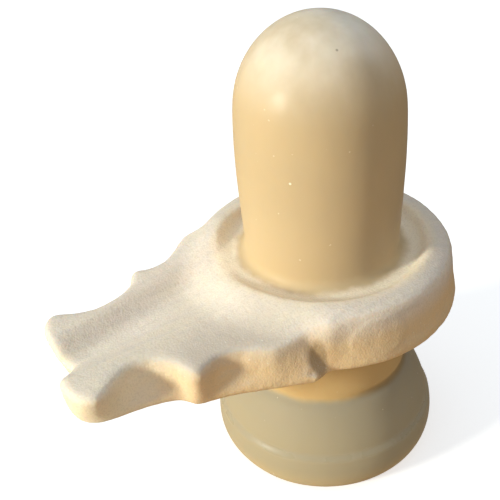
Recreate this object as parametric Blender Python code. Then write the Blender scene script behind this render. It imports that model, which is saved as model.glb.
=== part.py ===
"""A small marble shiva lingam, carved and ground from one block of cream stone.

A turned foot and a waisted neck carry the yoni, a round disc with a lower spout that runs out
over the front (-Y). The spout has scalloped flanks. A moat runs round the lingam on the disc, and
a channel leads from it to a notch in the spout's end. The domed lingam stands in the moat.

Metres, +Z up, origin on the axis at the middle of the foot's underside, spout along -Y.
The block is one closed mesh of three stacks of rings, all with the same number of points: the foot
and neck, the plate's edge, and the moat with the lingam. Two patches join them, the plate's flat
underside and its carved top.
"""

import math

import bmesh
import bpy
from mathutils import Vector
from mathutils.geometry import delaunay_2d_cdt

# Heights, bottom to top
FOOT_HEIGHT = 0.0333
NECK_HEIGHT = 0.0252
PLATE_THICKNESS = 0.0145
DISC_RISE = 0.0054
SHAFT_HEIGHT = 0.0436
DOME_HEIGHT = 0.0280

# Foot and neck
FOOT_RADIUS = 0.0368
FOOT_SEAT_INSET = 0.0060
FOOT_SHOULDER_INSET = 0.0093
NECK_RADIUS = 0.0268
NECK_FLARE = 0.0044

# Lingam
LINGAM_RADIUS = 0.0252
LINGAM_BASE_TAPER = 0.0018
LINGAM_TOP_TAPER = 0.0004
LINGAM_FILLET = 0.0028

# Round part of the plate
MOAT_WIDTH = 0.0054
MOAT_DEPTH = 0.0033
MOAT_BANK = 0.0038
RIM_WIDTH = 0.0105
RIM_LEAN = 0.0019
RIM_FALL = 0.0020
TOP_EDGE_RADIUS = 0.0022
BOTTOM_EDGE_RADIUS = 0.0020

# Spout, which falls away from the disc's higher top between two distances from the axis
FALL_START = 0.0340
FALL_END = 0.0470
SPOUT_REACH = 0.0925
SPOUT_TIP_DROP = 0.0003
CHANNEL_START_DEPTH = 0.0034
CHANNEL_END_DEPTH = 0.0052
CHANNEL_START_SHIFT = 0.0130
CHANNEL_START_NEAR_WIDTH = 0.0300
CHANNEL_START_FAR_WIDTH = 0.0095
CHANNEL_END_WIDTH = 0.0085
TOOTH_ANGLE = math.radians(48.0)
TOOTH_RISE_ANGLE = math.radians(10.0)
TOOTH_PROUD = 0.0040
TOOTH_HEEL = 0.0004

# The scalloped flanks, hand cut and a little different on the two sides. Each station is
# (share of the spout's length past the tooth, share of the tooth's distance from the middle line).
# The tooth is the share of TOOTH_PROUD by which the corner at the spout's root stands out of the
# disc, how far it is turned back from TOOTH_ANGLE, the share of the way back to the disc that its
# heel takes, and the share of the disc's lean that is left beside it. A flank is cut deeper at its
# upper edge than at its lower edge.
NEAR_UPPER = {
    "tooth": (0.60, math.radians(-1.5), 0.20, 0.0),
    "scallop_2": ((0.12, 0.925), (0.24, 0.765), (0.35, 0.725)),
    "cusp": ((0.460, 0.805), (0.505, 0.745)),
    "scallop_1": ((0.530, 0.58), (0.61, 0.43), (0.72, 0.42), (0.82, 0.53)),
    "lobe": ((0.905, 0.605), (0.975, 0.520), (1.00, 0.36), (0.995, 0.19)),
}
NEAR_LOWER = {
    "tooth": (1.15, math.radians(4.5), 0.85, 1.0),
    "scallop_2": ((0.12, 0.97), (0.28, 0.85), (0.39, 0.79)),
    "cusp": ((0.445, 0.770), (0.495, 0.735)),
    "scallop_1": ((0.520, 0.64), (0.61, 0.57), (0.72, 0.53), (0.82, 0.51)),
    "lobe": ((0.895, 0.475), (0.950, 0.390), (0.97, 0.27), (0.962, 0.14)),
}
FAR_UPPER = {
    "tooth": (1.10, math.radians(-1.0), 0.50, 1.0),
    "scallop_2": ((0.10, 0.87), (0.20, 0.74), (0.30, 0.735)),
    "cusp": ((0.340, 0.775), (0.388, 0.750)),
    "scallop_1": ((0.430, 0.61), (0.53, 0.51), (0.65, 0.48), (0.75, 0.54)),
    "lobe": ((0.840, 0.615), (0.907, 0.520), (0.93, 0.35), (0.925, 0.18)),
}
FAR_LOWER = {
    "tooth": (1.10, math.radians(2.0), 0.50, 1.0),
    "scallop_2": ((0.11, 0.93), (0.22, 0.82), (0.30, 0.78)),
    "cusp": ((0.340, 0.745), (0.388, 0.715)),
    "scallop_1": ((0.425, 0.62), (0.53, 0.56), (0.65, 0.52), (0.75, 0.50)),
    "lobe": ((0.815, 0.475), (0.860, 0.400), (0.88, 0.27), (0.877, 0.14)),
}
UPPER_NOTCH_SHARE = 0.895
LOWER_NOTCH_SHARE = 0.855

# How finely the block is cut into faces
ARC_STEPS = 17
STATION_STEPS = 2
TOP_GRID = 0.0030

# Sizes that follow from those above
MOAT_RADIUS = LINGAM_RADIUS - LINGAM_BASE_TAPER + MOAT_WIDTH + LINGAM_FILLET
DISC_RADIUS = MOAT_RADIUS + RIM_WIDTH
PLATE_UNDERSIDE = FOOT_HEIGHT + NECK_HEIGHT
PLATE_TOP = PLATE_UNDERSIDE + PLATE_THICKNESS
DISC_TOP = PLATE_TOP + DISC_RISE
MOAT_FLOOR = DISC_TOP - MOAT_DEPTH
DOME_SPRING = DISC_TOP + SHAFT_HEIGHT
ROOT_ANGLE = TOOTH_ANGLE + TOOTH_RISE_ANGLE
TOOTH_RADIUS = DISC_RADIUS + TOOTH_PROUD
TOOTH_ALONG = TOOTH_RADIUS * math.cos(TOOTH_ANGLE)
TOOTH_ACROSS = TOOTH_RADIUS * math.sin(TOOTH_ANGLE)
SPOUT_LENGTH = SPOUT_REACH - TOOTH_ALONG


def smooth(value, low, high):
    """0 below low, 1 above high, and an S-shaped ramp between them."""
    share = min(1.0, max(0.0, (value - low) / (high - low)))
    return share * share * (3 - 2 * share)


def through(points, steps):
    """A smooth curve through the points, with so many steps between each two of them."""
    curve = []
    for i in range(len(points) - 1):
        before = points[max(i - 1, 0)]
        start = points[i]
        end = points[i + 1]
        after = points[min(i + 2, len(points) - 1)]
        for step in range(steps):
            t = step / steps
            leaving = (end - before) * 0.5
            arriving = (after - start) * 0.5
            curve.append(
                start * (2 * t**3 - 3 * t**2 + 1)
                + leaving * (t**3 - 2 * t**2 + t)
                + end * (3 * t**2 - 2 * t**3)
                + arriving * (t**3 - t**2)
            )
    curve.append(points[-1].copy())
    return curve


def station(share_along, share_across):
    """A point of a flank, as (distance along the spout, distance from its middle line)."""
    return Vector((TOOTH_ALONG + share_along * SPOUT_LENGTH, share_across * TOOTH_ACROSS))


def flank(stations, notch_share, lean):
    """Half of the plate's outline, from the back of the disc, drawn in by its lean, to the notch."""
    proud_share, turned_back, heel_share, root_lean_share = stations["tooth"]
    points = []
    for step in range(ARC_STEPS + 1):
        angle = math.pi + (ROOT_ANGLE - math.pi) * step / ARC_STEPS
        past_root = smooth(angle, ROOT_ANGLE, ROOT_ANGLE + TOOTH_RISE_ANGLE)
        drawn_in = lean * (root_lean_share + (1 - root_lean_share) * past_root)
        points.append(Vector((math.cos(angle), math.sin(angle))) * (DISC_RADIUS - drawn_in))
    corner_radius = DISC_RADIUS + proud_share * TOOTH_PROUD
    corner_angle = TOOTH_ANGLE + turned_back
    corner = Vector((math.cos(corner_angle), math.sin(corner_angle))) * corner_radius
    before_tooth = corner_angle + (ROOT_ANGLE - corner_angle) * heel_share
    points.append(Vector((math.cos(before_tooth), math.sin(before_tooth))) * (points[-1].length + TOOTH_HEEL))
    notch = Vector((TOOTH_ALONG + notch_share * SPOUT_LENGTH, 0.0))
    cut = stations["scallop_2"] + stations["cusp"] + stations["scallop_1"] + stations["lobe"]
    side = [corner] + [station(*s) for s in cut] + [notch]
    points += through(side, STATION_STEPS)[:-1]
    return points, notch


def outline(near, far, notch_share, lean):
    """The plate's closed outline in plan, as points (x, y), anticlockwise from the back of the disc."""
    near_points, notch = flank(near, notch_share, lean)
    far_points, _ = flank(far, notch_share, lean)
    around = [(-p.y, -p.x) for p in far_points]
    around += [(notch.y, -notch.x)]
    around += [(p.y, -p.x) for p in reversed(near_points[1:])]
    return [Vector(p) for p in around]


UPPER = outline(NEAR_UPPER, FAR_UPPER, UPPER_NOTCH_SHARE, RIM_LEAN)
LOWER = outline(NEAR_LOWER, FAR_LOWER, LOWER_NOTCH_SHARE, 0.0)
COLUMNS = len(UPPER)
BACK_ANGLE = math.pi / 2


def column_angle(i):
    """The direction of column i on the round parts: that of the outline on the disc, and evenly
    spread across the spout's root."""
    to_root = math.pi - ROOT_ANGLE
    if i <= ARC_STEPS:
        return BACK_ANGLE + to_root * i / ARC_STEPS
    if i >= COLUMNS - ARC_STEPS:
        return BACK_ANGLE + 2 * math.pi - to_root * (COLUMNS - i) / ARC_STEPS
    share = (i - ARC_STEPS) / (COLUMNS - 2 * ARC_STEPS)
    return BACK_ANGLE + to_root + 2 * ROOT_ANGLE * share


ANGLES = [column_angle(i) for i in range(COLUMNS)]


def circle(radius):
    """The points of a circle round the axis, one for each column."""
    return [Vector((math.cos(a), math.sin(a))) * radius for a in ANGLES]


def channel_depth(point):
    """How far the channel lies below the plate's top at a point of the plan."""
    share = (-point.y - MOAT_RADIUS) / (SPOUT_REACH - MOAT_RADIUS)
    held = min(1.0, max(0.0, share))
    sideways = point.x + CHANNEL_START_SHIFT * (1 - held)
    start_width = CHANNEL_START_NEAR_WIDTH if sideways > 0 else CHANNEL_START_FAR_WIDTH
    width = start_width + (CHANNEL_END_WIDTH - start_width) * held
    depth = CHANNEL_START_DEPTH + (CHANNEL_END_DEPTH - CHANNEL_START_DEPTH) * held
    return depth * (1 - smooth(abs(sideways) / width, 0.0, 1.0)) * smooth(share, -0.45, 0.0)


def tip_drop(point):
    """How far the spout's top falls towards its tip."""
    return SPOUT_TIP_DROP * smooth(-point.y, TOOTH_ALONG, SPOUT_REACH)


def disc_rise(point):
    """How far the plate's top rises from the spout to the disc."""
    off_middle = math.atan2(abs(point.x), -point.y)
    fall_angle = TOOTH_ANGLE + 0.1 * TOOTH_RISE_ANGLE
    on_spout = 1 - smooth(off_middle, fall_angle, TOOTH_ANGLE + 0.65 * TOOTH_RISE_ANGLE)
    on_disc = 1 - on_spout * smooth(point.length, FALL_START, FALL_END)
    return on_disc * (DISC_RISE - RIM_FALL * smooth(point.length, MOAT_RADIUS, DISC_RADIUS))


def top_height(point):
    """The height of the plate's carved top at a point of the plan, outside the moat."""
    return PLATE_TOP + disc_rise(point) - tip_drop(point) - channel_depth(point)


def flat_ring(points, height):
    """A level ring of the block."""
    return [Vector((p.x, p.y, height)) for p in points]


def mixed(first, second, share):
    """The points that lie a share of the way from one line to another."""
    return [a.lerp(b, share) for a, b in zip(first, second)]


def squares(points):
    """The direction square to an anticlockwise outline and inwards, at each of its points."""
    directions = []
    for i, p in enumerate(points):
        before = (p - points[i - 1]).normalized()
        after = (points[(i + 1) % len(points)] - p).normalized()
        along = (before + after).normalized()
        directions.append(Vector((-along.y, along.x)))
    return directions


def edge_radii(points, radius):
    """The radius of the rounded edge at each point of an outline, less where a tip is narrow."""
    directions = squares(points)
    radii = [radius] * len(points)
    for _ in range(12):
        moved = [p + d * r for p, d, r in zip(points, directions, radii)]
        for i, p in enumerate(points):
            j = i - 1
            if (moved[i] - moved[j]).dot(p - points[j]) < 0.1 * (p - points[j]).length_squared:
                radii[i] *= 0.85
                radii[j] *= 0.85
    return radii


def inset(points, radii, share):
    """An anticlockwise outline moved inwards by a share of its edge radii, square to itself."""
    return [p + d * r * share for p, d, r in zip(points, squares(points), radii)]


def inside(point, loop):
    """Whether a point of the plan lies inside a closed loop."""
    crossings = 0
    for i, p in enumerate(loop):
        q = loop[i - 1]
        if (p.y > point.y) != (q.y > point.y):
            crossings += point.x < p.x + (point.y - p.y) / (q.y - p.y) * (q.x - p.x)
    return crossings % 2 == 1


def grid_between(outer, inner, spacing):
    """Evenly spaced points between two loops of the plan, clear of both."""
    reach = math.ceil(SPOUT_REACH / spacing)
    points = []
    for column in range(-reach, reach + 1):
        for row in range(-reach, reach + 1):
            p = Vector((column, row)) * spacing
            clear = min((p - q).length for q in outer + inner) > 0.65 * spacing
            if clear and inside(p, outer) and not inside(p, inner):
                points.append(p)
    return points


def foot_rings():
    """The foot, from its flat seat over the rounded belly to its shoulder at the neck."""
    seat = FOOT_RADIUS - FOOT_SEAT_INSET
    belly_height = 0.30 * FOOT_HEIGHT
    rings = [flat_ring(circle(seat * 0.5), 0.0), flat_ring(circle(seat), 0.0)]
    for step in range(1, 5):
        turn = math.pi / 2 * step / 4
        radius = seat + (FOOT_RADIUS - seat) * math.sin(turn)
        rings.append(flat_ring(circle(radius), belly_height * (1 - math.cos(turn))))
    for step in range(1, 6):
        share = step / 5
        radius = FOOT_RADIUS - FOOT_SHOULDER_INSET * share**1.9
        rings.append(flat_ring(circle(radius), belly_height + (FOOT_HEIGHT - belly_height) * share))
    return rings


def neck_rings():
    """The neck, a shallow cove from the foot's shoulder up to a flare under the plate."""
    shoulder = FOOT_RADIUS - FOOT_SHOULDER_INSET
    flare = NECK_RADIUS + NECK_FLARE
    rings = []
    for step in range(1, 7):
        share = step / 6
        lower = (shoulder - NECK_RADIUS) * (1 - smooth(share, 0.0, 0.20))
        upper = (flare - NECK_RADIUS) * smooth(share, 0.50, 1.08)
        rings.append(flat_ring(circle(NECK_RADIUS + lower + upper), FOOT_HEIGHT + NECK_HEIGHT * share))
    return rings


def plate_edge_rings():
    """The plate's edge, from its underside round the rounded flank to its top."""
    rings = []
    lower_radii = edge_radii(LOWER, BOTTOM_EDGE_RADIUS)
    upper_radii = edge_radii(UPPER, TOP_EDGE_RADIUS)
    for step in range(4):
        turn = math.pi / 2 * step / 3
        line = inset(LOWER, lower_radii, 1 - math.sin(turn))
        rings.append(flat_ring(line, PLATE_UNDERSIDE + BOTTOM_EDGE_RADIUS * (1 - math.cos(turn))))
    rings.append(flat_ring(mixed(LOWER, UPPER, 0.5), PLATE_UNDERSIDE + 0.45 * PLATE_THICKNESS))
    for step in range(5):
        turn = math.pi / 2 * step / 4
        fall = TOP_EDGE_RADIUS * (1 - math.sin(turn))
        line = inset(UPPER, upper_radii, 1 - math.cos(turn))
        rings.append([Vector((p.x, p.y, top_height(p) - fall)) for p in line])
    return rings


def moat_rings():
    """The moat, from its bank down to the floor round the lingam."""
    rings = []
    for share in (0.0, 0.35, 0.7, 1.0):
        line = circle(MOAT_RADIUS + (0.5 - share) * MOAT_BANK)
        fall = smooth(share, 0.0, 1.0)
        rings.append([Vector((p.x, p.y, top_height(p) + (MOAT_FLOOR - top_height(p)) * fall)) for p in line])
    return rings


def lingam_radius(height):
    """The lingam's radius at a height: fullest above its middle, and drawn in at the base."""
    share = (height - MOAT_FLOOR) / (DOME_SPRING - MOAT_FLOOR)
    return LINGAM_RADIUS - LINGAM_BASE_TAPER * (1 - smooth(share, -0.3, 0.75)) - LINGAM_TOP_TAPER * smooth(
        share, 0.75, 1.2
    )


def lingam_rings():
    """The lingam, from the fillet at its foot over the shaft to the dome."""
    rings = []
    for step in range(4):
        turn = math.pi / 2 * step / 3
        height = MOAT_FLOOR + LINGAM_FILLET * (1 - math.cos(turn))
        radius = lingam_radius(height) + LINGAM_FILLET * (1 - math.sin(turn))
        rings.append(flat_ring(circle(radius), height))
    for share in (0.2, 0.4, 0.6, 0.8, 1.0):
        height = MOAT_FLOOR + LINGAM_FILLET + (DOME_SPRING - MOAT_FLOOR - LINGAM_FILLET) * share
        rings.append(flat_ring(circle(lingam_radius(height)), height))
    spring_radius = lingam_radius(DOME_SPRING)
    for step in range(1, 9):
        turn = math.pi / 2 * step / 9
        rings.append(flat_ring(circle(spring_radius * math.cos(turn)), DOME_SPRING + DOME_HEIGHT * math.sin(turn)))
    return rings


def bridge(mesh, rings):
    """The rings as faces in the mesh, each bridged to the next. Returns the first and last one."""
    loops = [[mesh.verts.new(p) for p in ring] for ring in rings]
    for lower, upper in zip(loops, loops[1:]):
        for i in range(COLUMNS):
            j = (i + 1) % COLUMNS
            mesh.faces.new((lower[i], lower[j], upper[j], upper[i]))
    return loops[0], loops[-1]


def fan(mesh, loop, centre):
    """Triangles from a ring to a point on the axis."""
    tip = mesh.verts.new(centre)
    for i in range(COLUMNS):
        mesh.faces.new((loop[i - 1], loop[i], tip))


def patch(mesh, outer, inner, between):
    """Triangles between two loops of the mesh, over more points that lie on the plate's top."""
    outer_plan = [v.co.xy for v in outer]
    inner_plan = [v.co.xy for v in inner]
    corners = outer + inner + [mesh.verts.new((p.x, p.y, top_height(p))) for p in between]
    sides = [(i, (i + 1) % COLUMNS) for i in range(COLUMNS)]
    sides += [(a + COLUMNS, b + COLUMNS) for a, b in sides]
    plan = outer_plan + inner_plan + between
    points, _, triangles, sources, _, _ = delaunay_2d_cdt(plan, sides, [], 0, 1e-9)
    for triangle in triangles:
        middle = sum((points[i] for i in triangle), Vector((0, 0))) / 3
        if inside(middle, outer_plan) and not inside(middle, inner_plan):
            mesh.faces.new([corners[sources[i][0]] for i in triangle])


def cream_marble():
    """Polished cream marble."""
    material = bpy.data.materials.new("cream_marble")
    material.use_nodes = True
    shader = material.node_tree.nodes["Principled BSDF"]
    shader.inputs["Base Color"].default_value = (0.72, 0.63, 0.47, 1.0)
    shader.inputs["Roughness"].default_value = 0.35
    shader.inputs["Metallic"].default_value = 0.0
    return material


def shiva_lingam():
    """The carved block: foot, neck, yoni plate with its spout, and lingam."""
    mesh = bmesh.new()
    foot_start, neck_end = bridge(mesh, foot_rings() + neck_rings())
    edge_start, edge_end = bridge(mesh, plate_edge_rings())
    moat_start, lingam_end = bridge(mesh, moat_rings() + lingam_rings())
    fan(mesh, foot_start, (0, 0, 0))
    fan(mesh, lingam_end, (0, 0, DOME_SPRING + DOME_HEIGHT))
    patch(mesh, edge_start, neck_end, [])
    top_plan = [v.co.xy for v in edge_end]
    moat_plan = [v.co.xy for v in moat_start]
    patch(mesh, edge_end, moat_start, grid_between(top_plan, moat_plan, TOP_GRID))
    bmesh.ops.recalc_face_normals(mesh, faces=mesh.faces)
    data = bpy.data.meshes.new("shiva_lingam")
    mesh.to_mesh(data)
    mesh.free()
    data.materials.append(cream_marble())
    data.shade_smooth()
    data.set_sharp_from_angle(angle=math.radians(40))
    block = bpy.data.objects.new("shiva_lingam", data)
    bpy.context.scene.collection.objects.link(block)
    return block


def main():
    for old in list(bpy.data.objects):
        bpy.data.objects.remove(old)
    shiva_lingam()


main()
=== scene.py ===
import math

import bmesh
import bpy
from mathutils import Matrix, Vector, noise


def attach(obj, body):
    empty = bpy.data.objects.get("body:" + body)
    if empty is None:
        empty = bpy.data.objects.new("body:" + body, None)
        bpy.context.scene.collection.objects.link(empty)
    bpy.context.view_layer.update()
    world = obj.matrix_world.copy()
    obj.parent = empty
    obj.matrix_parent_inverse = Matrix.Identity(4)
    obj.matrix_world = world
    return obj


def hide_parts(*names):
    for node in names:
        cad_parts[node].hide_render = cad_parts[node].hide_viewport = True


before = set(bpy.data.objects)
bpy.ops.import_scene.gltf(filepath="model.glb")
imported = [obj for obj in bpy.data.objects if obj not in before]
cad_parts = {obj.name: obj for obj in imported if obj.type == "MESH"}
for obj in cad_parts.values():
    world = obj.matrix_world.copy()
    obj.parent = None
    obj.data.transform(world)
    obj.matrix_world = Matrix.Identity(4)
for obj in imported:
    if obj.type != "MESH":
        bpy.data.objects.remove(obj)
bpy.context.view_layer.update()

# The carved block: foot, neck, yoni plate with its spout, and lingam, one piece of cream marble.
# It is roughed out with a grinder, which leaves soft hollows and rounded arrises. The lingam and
# the foot are then turned and polished, and the plate is left honed.

FOOT_TOP = 0.0333
PLATE_UNDERSIDE = 0.0585
DISC_TOP = 0.0784
LINGAM_RADIUS = 0.0252
TURNED_LINE = 0.0163
TURNED_STEP = 0.00070
CREASE_DEPTH = 0.0006
STONE_GRAIN = 0.00078

NOTCH = Vector((0.0344, -0.0260, 0.0645))
CORNER_BY_NOTCH = Vector((0.0345, -0.0230, 0.0765))

# How near and how far the rubbing fades, from the corner, the notch and the moat's middle line.
CORNER_FADE = (0.0030, 0.0085)
NOTCH_FADE = (0.0050, 0.0100)
MOAT_MIDDLE = LINGAM_RADIUS + 0.0070
MOAT_FADE = (0.0035, 0.0060)

# How deep the tools leave the stone's hollows, streaks and grit, and how fine each is.
POLISH_WAVE = 0.00012
POLISH_WAVE_FINENESS = 55.0
HOLLOW_DEPTH = 0.00028
HOLLOW_FINENESS = 60.0
HOLLOW_SHIFT = Vector((3.1, 0.0, 7.7))
STREAK_DEPTH = 0.00010
GRIT_DEPTH = 0.00004
GRIT_FINENESS = 640.0

# The oval that a finer wheel left proud on the disc's near wall, by its angle from the spout.
PATCH_ANGLE = 1.366
PATCH_HALF_ANGLE = 0.24
PATCH_HEIGHT = 0.0685
PATCH_HALF_HEIGHT = 0.0068
PATCH_PROUD = 0.00028

# Small pits beside the near tooth: place, radius and depth.
CHIPS = (
    (Vector((0.0356, -0.0312, 0.0655)), 0.0010, 0.0005),
    (Vector((0.0362, -0.0290, 0.0625)), 0.0009, 0.0005),
    (Vector((0.0350, -0.0335, 0.0640)), 0.0007, 0.0003),
    (Vector((0.0365, -0.0275, 0.0660)), 0.0006, 0.0003),
    (Vector((0.0368, -0.0300, 0.0605)), 0.0008, 0.0004),
)


def bare_copy_of(node, name):
    """A copy of a solid's own mesh, its loose triangles joined."""
    block = bpy.data.objects.new(name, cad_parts[node].data.copy())
    bpy.context.scene.collection.objects.link(block)
    block.data.materials.clear()
    stone = bmesh.new()
    stone.from_mesh(block.data)
    bmesh.ops.remove_doubles(stone, verts=stone.verts, dist=0.00001)
    bmesh.ops.recalc_face_normals(stone, faces=stone.faces)
    stone.to_mesh(block.data)
    stone.free()
    return block


def finish_with(block, kind, **settings):
    """Adds a modifier to the block with these settings and applies it."""
    bpy.ops.object.select_all(action="DESELECT")
    block.select_set(True)
    bpy.context.view_layer.objects.active = block
    tool = block.modifiers.new(kind.lower(), kind)
    for setting, value in settings.items():
        setattr(tool, setting, value)
    bpy.ops.object.modifier_apply(modifier=tool.name)


def ramped(value, low, high):
    """0 below low, 1 above high, and an even slope between them."""
    return min(1.0, max(0.0, (value - low) / (high - low)))


def from_axis(p):
    """A point's distance from the lingam's axis."""
    return math.hypot(p.x, p.y)


def rub_down(block, strokes, share_at):
    """Smooths the block where share_at gives more than nothing for a point, as rubbing does."""
    rubbed = block.vertex_groups.new(name="rubbed")
    for v in block.data.vertices:
        share = share_at(v.co)
        if share > 0.0:
            rubbed.add([v.index], share, "REPLACE")
    finish_with(block, "SMOOTH", factor=0.5, iterations=strokes, vertex_group="rubbed")
    block.vertex_groups.clear()


def corner_by_the_notch(p):
    """The corner where the disc's rim drops to the near tooth."""
    return 1.0 - ramped((p - CORNER_BY_NOTCH).length, *CORNER_FADE)


def moat(p):
    """The moat that water is poured into, between the lingam's fillet and the crest round it."""
    off_middle = abs(from_axis(p) - MOAT_MIDDLE)
    return (1.0 - ramped(off_middle, *MOAT_FADE)) * ramped(p.z, 0.0700, 0.0720)


def plate_but_the_notch(p):
    """The whole plate but the near tooth and its notch, which keep their crisp face."""
    above_neck = ramped(p.z, PLATE_UNDERSIDE - 0.0030, PLATE_UNDERSIDE)
    below_shaft = 1.0 - ramped(p.z, DISC_TOP, DISC_TOP + 0.0030)
    return above_neck * below_shaft * ramped((p - NOTCH).length, *NOTCH_FADE)


def turned_parts(p):
    """The lingam and the foot, polished until no flat of the wheel is left."""
    on_lingam = ramped(p.z, DISC_TOP + 0.0020, DISC_TOP + 0.0060)
    below_plate = 1.0 - ramped(p.z, PLATE_UNDERSIDE - 0.0065, PLATE_UNDERSIDE - 0.0025)
    off_crease = ramped(abs(p.z - FOOT_TOP), 0.0015, 0.0045)
    return max(on_lingam, ramped(p.z, 0.0012, 0.0030) * below_plate * off_crease)


def dressed_patch(p):
    """How much a point lies in the oval on the disc's near wall."""
    along = (math.atan2(p.x, -p.y) - PATCH_ANGLE) / PATCH_HALF_ANGLE
    upright = (p.z - PATCH_HEIGHT) / PATCH_HALF_HEIGHT
    off_centre = math.hypot(along, upright) + 0.05 * noise.noise(p * 260.0)
    return (1.0 - ramped(off_centre, 0.88, 1.0)) * ramped(from_axis(p), 0.0375, 0.0385)


def polished_stone(p):
    """How far the lathe and the polish left a point from true, in metres along its normal."""
    above_line = ramped(p.z, TURNED_LINE - 0.0011, TURNED_LINE + 0.0011)
    fading_out = 1.0 - ramped(p.z, TURNED_LINE + 0.0012, FOOT_TOP - 0.0040)
    step = TURNED_STEP * above_line * fading_out
    crease = CREASE_DEPTH * math.exp(-(((p.z - FOOT_TOP - 0.0004) / 0.0017) ** 2))
    return POLISH_WAVE * noise.noise(p * POLISH_WAVE_FINENESS) - step - crease


def honed_stone(p):
    """How far the grinder left a point of the plate from true, in metres along its normal."""
    hollows = HOLLOW_DEPTH * noise.noise(p * HOLLOW_FINENESS + HOLLOW_SHIFT)
    streaks = STREAK_DEPTH * noise.noise(Vector((p.x * 700.0, p.y * 110.0, p.z * 500.0)))
    grit = GRIT_DEPTH * noise.noise(p * GRIT_FINENESS)
    chips = sum(
        depth * math.exp(-(((p - place).length / size) ** 2)) for place, size, depth in CHIPS
    )
    return hollows + streaks + grit - chips + PATCH_PROUD * dressed_patch(p)


def work_the_surface(block):
    """Rounds the arrises, moves the surface by what the tools left, and notes what faces up."""
    finish_with(block, "SMOOTH", factor=0.5, iterations=4)
    stone = bmesh.new()
    stone.from_mesh(block.data)
    stone.normal_update()
    for v in stone.verts:
        on_plate = PLATE_UNDERSIDE - 0.001 < v.co.z < DISC_TOP + 0.001
        if on_plate and from_axis(v.co) > LINGAM_RADIUS + 0.0015:
            v.co += v.normal * honed_stone(v.co)
        elif v.co.z > 0.002:
            v.co += v.normal * polished_stone(v.co)
    stone.normal_update()
    facing_up = [v.normal.z for v in stone.verts]
    stone.to_mesh(block.data)
    stone.free()
    block.data.attributes.new("facing_up", "FLOAT", "POINT").data.foreach_set("value", facing_up)


lingam_block = bare_copy_of("shiva_lingam", "carved_lingam")
finish_with(lingam_block, "REMESH", mode="VOXEL", voxel_size=STONE_GRAIN, adaptivity=0.0)
rub_down(lingam_block, 25, corner_by_the_notch)
rub_down(lingam_block, 12, moat)
rub_down(lingam_block, 11, plate_but_the_notch)
rub_down(lingam_block, 40, turned_parts)
work_the_surface(lingam_block)
lingam_block.data.shade_smooth()

LINGAM_GOLD = (0.635, 0.480, 0.280)
LINGAM_TOP_PAINTED_LIGHT = (1.000, 0.940, 0.840)
LINGAM_CLOUD = (0.545, 0.425, 0.265)
NECK_PAINTED_WARM_LIGHT = (0.700, 0.490, 0.230)
CREASE_SHADE = (0.300, 0.205, 0.100)
# FOOT_OLIVE is partly the foot's own greener stone and partly painted shade, darkened as if the
# foot stood out of the lamp.
FOOT_OLIVE = (0.455, 0.385, 0.255)
FOOT_PAINTED_SKY_LIGHT = (0.425, 0.385, 0.290)
FOOT_PAINTED_WARM_BOUNCE = (0.640, 0.500, 0.280)
PLATE_PALE = (0.820, 0.730, 0.640)
PLATE_CREAM = (0.810, 0.725, 0.600)
PLATE_STREAK = (0.720, 0.660, 0.590)
PLATE_PAINTED_SHADE = (0.590, 0.520, 0.440)
MOAT_PAINTED_LIGHT = (0.980, 0.850, 0.660)
WALL_GOLD = (0.850, 0.605, 0.340)
WALL_BUFF = (0.780, 0.585, 0.350)
SPOUT_END_PAINTED_LIGHT = (1.000, 0.860, 0.640)
NOTCH_PAINTED_SHADE = (0.400, 0.275, 0.150)
GRAIN_SHADE = (0.600, 0.480, 0.340)
GLINT = (0.950, 0.880, 0.760)
GLINT_SPECK = (0.960, 0.880, 0.700)
DARK_SPECK = (0.260, 0.200, 0.140)
DARK_SPECK_PLACE = (0.0138, -0.0039, 0.1447)
WHITE_SPECK_PLACE = (0.0147, -0.0204, 0.1110)
SPECK_FADE = (0.0005, 0.0002)
GRAIN_FINENESS = 1700.0
GLINT_FINENESS = 1500.0
GLINT_SPECK_FINENESS = 520.0


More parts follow.
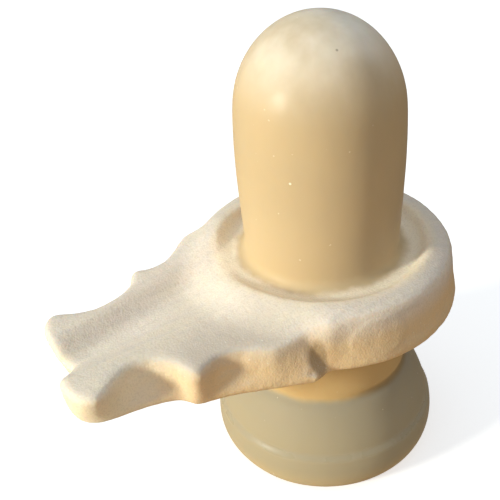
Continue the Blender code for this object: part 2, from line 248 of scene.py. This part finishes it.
def honed_and_polished_marble():
    """Cream marble, polished but for the plate; golden on its sides and paler and cooler where it
    faces up, partly the stone's own tones and partly painted light, with more painted light and
    shade in places.
    """
    marble = bpy.data.materials.new("cream_marble")
    marble.use_nodes = True
    nodes = marble.node_tree.nodes
    links = marble.node_tree.links
    shader = nodes["Principled BSDF"]
    shader.inputs["Metallic"].default_value = 0.0
    shader.inputs["IOR"].default_value = 1.45
    shader.inputs["Subsurface Weight"].default_value = 0.25
    shader.inputs["Subsurface Radius"].default_value = (1.0, 0.62, 0.32)
    shader.inputs["Subsurface Scale"].default_value = 0.003
    where = nodes.new("ShaderNodeTexCoord").outputs["Object"]

    def put(socket, value):
        if isinstance(value, tuple):
            socket.default_value = (*value, 1.0)
        elif isinstance(value, (int, float)):
            socket.default_value = value
        else:
            links.new(value, socket)

    def reckoned(operation, first, second=0.0):
        node = nodes.new("ShaderNodeMath")
        node.operation = operation
        put(node.inputs[0], first)
        put(node.inputs[1], second)
        return node.outputs[0]

    def part_of(first, second):
        return reckoned("MULTIPLY", first, second)

    def slope(value, low, high):
        node = nodes.new("ShaderNodeMapRange")
        node.interpolation_type = "SMOOTHSTEP"
        put(node.inputs["Value"], value)
        put(node.inputs["From Min"], low)
        put(node.inputs["From Max"], high)
        return node.outputs[0]

    def stretched(stretch):
        pull = nodes.new("ShaderNodeMapping")
        pull.inputs["Scale"].default_value = stretch
        links.new(where, pull.inputs["Vector"])
        return pull.outputs[0]

    def cloud(scale, detail, stretch=(1.0, 1.0, 1.0)):
        node = nodes.new("ShaderNodeTexNoise")
        put(node.inputs["Scale"], scale)
        put(node.inputs["Detail"], detail)
        links.new(stretched(stretch), node.inputs["Vector"])
        return node.outputs["Fac"]

    def spot(place, edge, middle, squash=1.0):
        node = nodes.new("ShaderNodeVectorMath")
        node.operation = "DISTANCE"
        links.new(stretched((1.0, 1.0, squash)), node.inputs[0])
        node.inputs[1].default_value = (place[0], place[1], place[2] * squash)
        return slope(node.outputs["Value"], edge, middle)

    def mixed(share, first, second):
        node = nodes.new("ShaderNodeMix")
        node.data_type = "RGBA"
        put(node.inputs[0], share)
        put(node.inputs[6], first)
        put(node.inputs[7], second)
        return node.outputs[2]

    split = nodes.new("ShaderNodeSeparateXYZ")
    links.new(where, split.inputs[0])
    x, y, z = split.outputs
    radius = reckoned("SQRT", reckoned("ADD", part_of(x, x), part_of(y, y)))
    wander = part_of(reckoned("SUBTRACT", cloud(140.0, 3.0), 0.5), 0.004)
    upward = nodes.new("ShaderNodeAttribute")
    upward.attribute_name = "facing_up"
    # Painted sky light: faces that look up are painted paler and cooler, as the sky lights them; on
    # the plate this is partly the honed top's own paler tone.
    painted_sky_light = slope(upward.outputs["Fac"], 0.15, 0.85)

    above_neck = slope(z, PLATE_UNDERSIDE - 0.0006, PLATE_UNDERSIDE + 0.0006)
    below_shaft = slope(z, DISC_TOP + 0.0020, DISC_TOP - 0.0010)
    wavy_radius = reckoned("ADD", radius, wander)
    off_shaft = slope(wavy_radius, LINGAM_RADIUS - 0.0004, LINGAM_RADIUS + 0.0028)
    honed = part_of(part_of(above_neck, below_shaft), off_shaft)

    # Painted light: the shaft is painted paler towards the dome's top, standing in for the sky
    # light falling on it.
    shaft = mixed(slope(z, 0.126, 0.153), LINGAM_GOLD, LINGAM_TOP_PAINTED_LIGHT)
    shaft = mixed(slope(cloud(26.0, 5.0, (1.0, 1.0, 0.6)), 0.38, 0.72), shaft, LINGAM_CLOUD)
    # Painted sky light: the foot's upward faces are painted greyer and cooler, as the sky lights
    # them.
    foot = mixed(painted_sky_light, FOOT_OLIVE, FOOT_PAINTED_SKY_LIGHT)
    # Painted light: the foot's lowest part is painted warmer, as warm light reflected from below.
    foot = mixed(slope(z, 0.012, 0.001), foot, FOOT_PAINTED_WARM_BOUNCE)
    wavy_height = reckoned("ADD", z, part_of(wander, 0.3))
    # Painted light: the neck is painted golden, as warm light thrown up under the plate.
    below = mixed(slope(wavy_height, FOOT_TOP - 0.0012, FOOT_TOP + 0.0014), foot, NECK_PAINTED_WARM_LIGHT)
    off_crease = reckoned("ABSOLUTE", reckoned("SUBTRACT", z, FOOT_TOP + 0.0003))
    shaded_crease = part_of(slope(y, -0.014, 0.006), slope(off_crease, 0.0020, 0.0003))
    below = mixed(part_of(shaded_crease, 0.6), below, CREASE_SHADE)
    polished = mixed(above_neck, below, shaft)
    # Painted glints: sparse bright specks on the polished stone, and one placed white speck,
    # painted as glints.
    glint_specks = slope(cloud(GLINT_SPECK_FINENESS, 1.0), 0.775, 0.80)
    polished = mixed(part_of(glint_specks, 0.4), polished, GLINT_SPECK)
    polished = mixed(spot(WHITE_SPECK_PLACE, *SPECK_FADE), polished, GLINT_SPECK)
    polished = mixed(part_of(spot(DARK_SPECK_PLACE, *SPECK_FADE), 0.6), polished, DARK_SPECK)

    top = mixed(slope(cloud(45.0, 4.0), 0.35, 0.70), PLATE_PALE, PLATE_CREAM)
    streaks = slope(cloud(1.0, 4.0, (520.0, 60.0, 400.0)), 0.42, 0.66)
    top = mixed(part_of(streaks, 0.5), top, PLATE_STREAK)
    # Painted shade: the near half of the spout's top, towards the disc, is painted darker, as the
    # shade on the channel's near bank.
    along_spout = part_of(slope(y, -0.080, -0.058), slope(y, -0.024, -0.040))
    top = mixed(part_of(part_of(slope(x, 0.006, 0.022), along_spout), 0.7), top, PLATE_PAINTED_SHADE)
    # Painted light: the moat is painted paler and warmer, lifting the shade in its hollow.
    in_moat = slope(radius, LINGAM_RADIUS + 0.0110, LINGAM_RADIUS + 0.0070)
    top = mixed(part_of(in_moat, 0.85), top, MOAT_PAINTED_LIGHT)
    wall = mixed(slope(cloud(60.0, 5.0), 0.35, 0.70), WALL_GOLD, WALL_BUFF)
    # Painted light: the walls grow paler and warmer towards the spout's end, which faces the lamp.
    wall = mixed(slope(y, -0.052, -0.084), wall, SPOUT_END_PAINTED_LIGHT)
    upper_wall = part_of(slope(z, 0.0665, 0.0750), 0.8)
    # The plate's upward faces take the top's tone and its sides the golden wall tone, partly the
    # stone's own and partly painted sky and warm side light.
    ground = mixed(reckoned("MAXIMUM", painted_sky_light, upper_wall), wall, top)
    # Painted shade: a dark patch painted on the near tooth's facet, which stands in shade.
    ground = mixed(part_of(spot(NOTCH, 0.0036, 0.0020, squash=0.42), 0.8), ground, NOTCH_PAINTED_SHADE)
    grains = cloud(GRAIN_FINENESS, 2.0)
    ground = mixed(part_of(slope(grains, 0.55, 0.30), 0.25), ground, GRAIN_SHADE)
    glints = slope(cloud(GLINT_FINENESS, 1.0), 0.70, 0.76)
    ground = mixed(part_of(glints, 0.5), ground, GLINT)
    links.new(mixed(honed, polished, ground), shader.inputs["Base Color"])

    off_line = reckoned("ABSOLUTE", reckoned("SUBTRACT", z, TURNED_LINE))
    on_line = slope(off_line, 0.0022, 0.0008)
    above_line = slope(z, TURNED_LINE, TURNED_LINE + 0.006)
    less_polished = part_of(above_line, slope(z, DISC_TOP, FOOT_TOP))
    dull = reckoned("MAXIMUM", part_of(honed, 0.36), part_of(less_polished, 0.22))
    scuffs = reckoned("ADD", part_of(cloud(70.0, 5.0), 0.26), 0.22)
    rubbed = reckoned("SUBTRACT", scuffs, part_of(on_line, 0.08))
    links.new(reckoned("ADD", dull, rubbed), shader.inputs["Roughness"])
    shine = reckoned("ADD", part_of(on_line, 0.35), 0.14)
    links.new(shine, shader.inputs["Specular IOR Level"])

    relief = nodes.new("ShaderNodeBump")
    relief.inputs["Strength"].default_value = 0.35
    relief.inputs["Distance"].default_value = 0.0004
    honed_grain = part_of(reckoned("ADD", grains, cloud(500.0, 3.0)), honed)
    links.new(reckoned("ADD", honed_grain, cloud(90.0, 1.0)), relief.inputs["Height"])
    links.new(relief.outputs["Normal"], shader.inputs["Normal"])
    return marble


lingam_block.data.materials.append(honed_and_polished_marble())
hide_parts("shiva_lingam")
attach(lingam_block, "root")


# The floor: a plain pale sheet that the piece stands on by its own weight. It glows a little, as
# paper lit from below does, and throws no light back onto the stone.

PAPER_WHITE = (0.70, 0.71, 0.73, 1.0)
PAPER_GLOW = 0.58
FLOOR_WIDTH = 60.0

bpy.ops.object.select_all(action="DESELECT")
bpy.ops.mesh.primitive_plane_add(size=FLOOR_WIDTH, location=(0.0, 0.0, 0.0))
pale_floor = bpy.context.object
pale_floor.name = "pale_floor"
pale_floor.visible_diffuse = False
pale_floor.visible_glossy = False
pale_paper = bpy.data.materials.new("pale_paper")
pale_paper.use_nodes = True
paper_shader = pale_paper.node_tree.nodes["Principled BSDF"]
paper_shader.inputs["Base Color"].default_value = PAPER_WHITE
paper_shader.inputs["Roughness"].default_value = 0.9
paper_shader.inputs["Specular IOR Level"].default_value = 0.1
paper_shader.inputs["Emission Color"].default_value = (1.0, 1.0, 1.0, 1.0)
paper_shader.inputs["Emission Strength"].default_value = PAPER_GLOW
pale_floor.data.materials.append(pale_paper)


# The light: a warm lamp low past the spout's end, and a pale room round it. The room is cool
# overhead and warm below, and dimmer on the side behind the lingam.

LAMP_AZIMUTH = math.radians(268.0)
LAMP_HEIGHT = math.radians(16.0)
LAMP_DISTANCE = 1.6
LAMP_SIZE = 0.24
LAMP_WATTS = 25.0
LAMP_WHITE = (1.0, 0.99, 0.85)
LIT_POINT = Vector((0.0, 0.0, 0.07))
BRIGHT_SIDE = 1.08
DIM_SIDE = 0.45
# The room's tones, by height: 0 straight down, 0.5 level, 1 straight up.
ROOM_TONES = (
    (0.40, (0.52, 0.40, 0.27)),
    (0.62, (0.28, 0.20, 0.13)),
    (0.78, (0.62, 0.68, 0.72)),
    (1.00, (0.72, 0.78, 0.82)),
)

bpy.ops.object.light_add(type="AREA")
warm_lamp = bpy.context.object
warm_lamp.name = "warm_lamp"
warm_lamp.data.shape = "DISK"
warm_lamp.data.size = LAMP_SIZE
warm_lamp.data.energy = LAMP_WATTS
warm_lamp.data.color = LAMP_WHITE
towards_lamp = Vector((math.cos(LAMP_AZIMUTH), math.sin(LAMP_AZIMUTH), math.tan(LAMP_HEIGHT)))
towards_lamp.normalize()
warm_lamp.location = LIT_POINT + towards_lamp * LAMP_DISTANCE
warm_lamp.rotation_euler = towards_lamp.to_track_quat("Z", "Y").to_euler()

room = bpy.data.worlds.new("pale_room")
bpy.context.scene.world = room
room.use_nodes = True
room_nodes = room.node_tree.nodes
room_links = room.node_tree.links
room_light = room_nodes["Background"]
direction = room_nodes.new("ShaderNodeTexCoord")
direction_parts = room_nodes.new("ShaderNodeSeparateXYZ")
room_links.new(direction.outputs["Generated"], direction_parts.inputs[0])

height_share = room_nodes.new("ShaderNodeMapRange")
height_share.inputs["From Min"].default_value = -1.0
height_share.inputs["From Max"].default_value = 1.0
room_links.new(direction_parts.outputs["Z"], height_share.inputs["Value"])
room_ramp = room_nodes.new("ShaderNodeValToRGB")
room_ramp.color_ramp.elements.remove(room_ramp.color_ramp.elements[1])
room_ramp.color_ramp.elements[0].position = ROOM_TONES[0][0]
room_ramp.color_ramp.elements[0].color = (*ROOM_TONES[0][1], 1.0)
for share, tone in ROOM_TONES[1:]:
    room_ramp.color_ramp.elements.new(share).color = (*tone, 1.0)
room_links.new(height_share.outputs[0], room_ramp.inputs["Fac"])
room_links.new(room_ramp.outputs["Color"], room_light.inputs["Color"])

dim_side = room_nodes.new("ShaderNodeMapRange")
dim_side.inputs["From Min"].default_value = -0.1
dim_side.inputs["From Max"].default_value = 0.9
dim_side.inputs["To Min"].default_value = BRIGHT_SIDE
dim_side.inputs["To Max"].default_value = DIM_SIDE
room_links.new(direction_parts.outputs["Y"], dim_side.inputs["Value"])
room_links.new(dim_side.outputs[0], room_light.inputs["Strength"])

# The camera itself sees plain white past the floor's edge, not the room.
sight = room_nodes.new("ShaderNodeLightPath")
white_backdrop = room_nodes.new("ShaderNodeBackground")
white_backdrop.inputs["Color"].default_value = (1.0, 1.0, 1.0, 1.0)
seen_room = room_nodes.new("ShaderNodeMixShader")
room_links.new(sight.outputs["Is Camera Ray"], seen_room.inputs[0])
room_links.new(room_light.outputs[0], seen_room.inputs[1])
room_links.new(white_backdrop.outputs[0], seen_room.inputs[2])
room_links.new(seen_room.outputs[0], room_nodes["World Output"].inputs["Surface"])


# The camera: where the photograph was taken from, looking down past the spout's near side.

CAMERA_PLACE = Vector((0.19660, -0.13766, 0.23840))
CAMERA_RIGHT = Vector((0.526874, 0.848038, -0.056864))
CAMERA_UP = Vector((-0.456361, 0.338702, 0.822808))
CAMERA_BACK = Vector((0.717033, -0.407565, 0.565467))
LENS_MM = 66.5
SENSOR_MM = 36.0

camera_data = bpy.data.cameras.new("camera")
camera_data.sensor_width = SENSOR_MM
camera_data.lens = LENS_MM
camera_data.clip_start = 0.01
camera = bpy.data.objects.new("camera", camera_data)
bpy.context.scene.collection.objects.link(camera)
turn = Matrix((CAMERA_RIGHT, CAMERA_UP, CAMERA_BACK)).transposed()
camera.matrix_world = Matrix.Translation(CAMERA_PLACE) @ turn.to_4x4()
bpy.context.scene.camera = camera
bpy.context.scene.view_settings.view_transform = "Standard"
